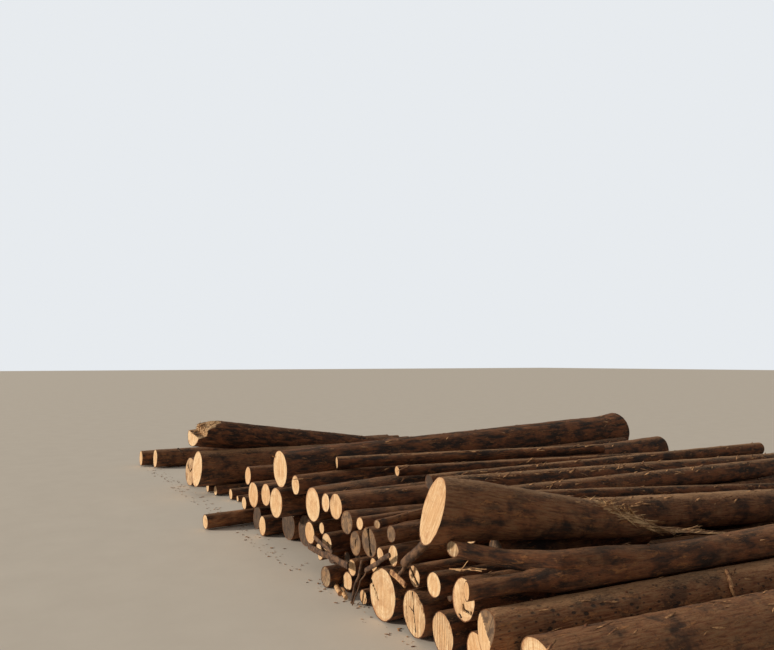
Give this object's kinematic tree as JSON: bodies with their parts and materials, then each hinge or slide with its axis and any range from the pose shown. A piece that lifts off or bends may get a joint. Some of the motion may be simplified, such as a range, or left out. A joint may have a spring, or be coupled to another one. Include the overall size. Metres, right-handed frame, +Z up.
{
  "type": "stack of logs",
  "caption": "Low stack of sawn softwood logs lying side by side on the ground, with thick butt logs, poles and one forked log loose on top.",
  "frame": {"origin": "on the ground under the middle of the stack", "axes": "+X along the logs from the sawn front face to the back, +Y along the row, +Z up"},
  "size_m": [4.719, 8.8182, 0.9355],
  "materials": {
    "bark_brown": "rough",
    "bark_grey": "rough"
  },
  "bodies": {
    "root": {"big_butt_log": "bark_brown", "bright_end_log_a": "bark_brown", "bright_end_log_b": "bark_brown", "bright_end_log_c": "bark_brown", "brown_end_log": "bark_brown", "brown_pole": "bark_brown", "cracked_end_log": "bark_brown", "crossing_pole": "bark_brown", "dark_top_log": "bark_brown", "far_log_a": "bark_brown", "far_log_b": "bark_brown", "far_reaching_top_log": "bark_brown", "forked_log": "bark_grey", "grey_end_log_a": "bark_grey", "grey_end_log_b": "bark_grey", "ground_pole_a": "bark_brown", "ground_pole_b": "bark_brown", "hidden_ground_logs": "bark_brown", "hidden_second_course_logs": "bark_brown", "hidden_third_course_logs": "bark_brown", "hidden_top_logs": "bark_brown", "hinge_butt_log": "bark_brown", "hollow_end_log": "bark_brown", "knotty_log": "bark_grey", "large_end_log": "bark_brown", "leaning_pole": "bark_brown", "long_top_log": "bark_brown", "low_end_log_a": "bark_brown", "low_end_log_b": "bark_brown", "low_end_log_c": "bark_brown", "mid_end_log_a": "bark_brown", "near_hidden_log": "bark_grey", "near_outer_log": "bark_grey", "pale_top_log": "bark_grey", "poles_under_large_log": "bark_brown", "recessed_pole": "bark_brown", "ridged_end_log": "bark_brown", "shaded_ground_log": "bark_brown", "shaded_pole_a": "bark_brown", "shaggy_top_log": "bark_brown", "short_end_log_a": "bark_brown", "short_top_log": "bark_brown", "small_end_log": "bark_brown", "split_end_log": "bark_brown", "stray_ground_log": "bark_brown", "thin_end_log_a": "bark_brown", "thin_pole_a": "bark_brown", "thin_pole_b": "bark_brown", "thin_pole_c": "bark_brown", "thin_top_log": "bark_grey", "top_end_log_a": "bark_grey", "top_end_log_b": "bark_brown", "top_end_log_c": "bark_brown", "violet_end_log": "bark_brown", "weathered_butt_log": "bark_grey", "weathered_mid_log_a": "bark_grey", "weathered_pole_a": "bark_grey"}
  },
  "joints": []
}
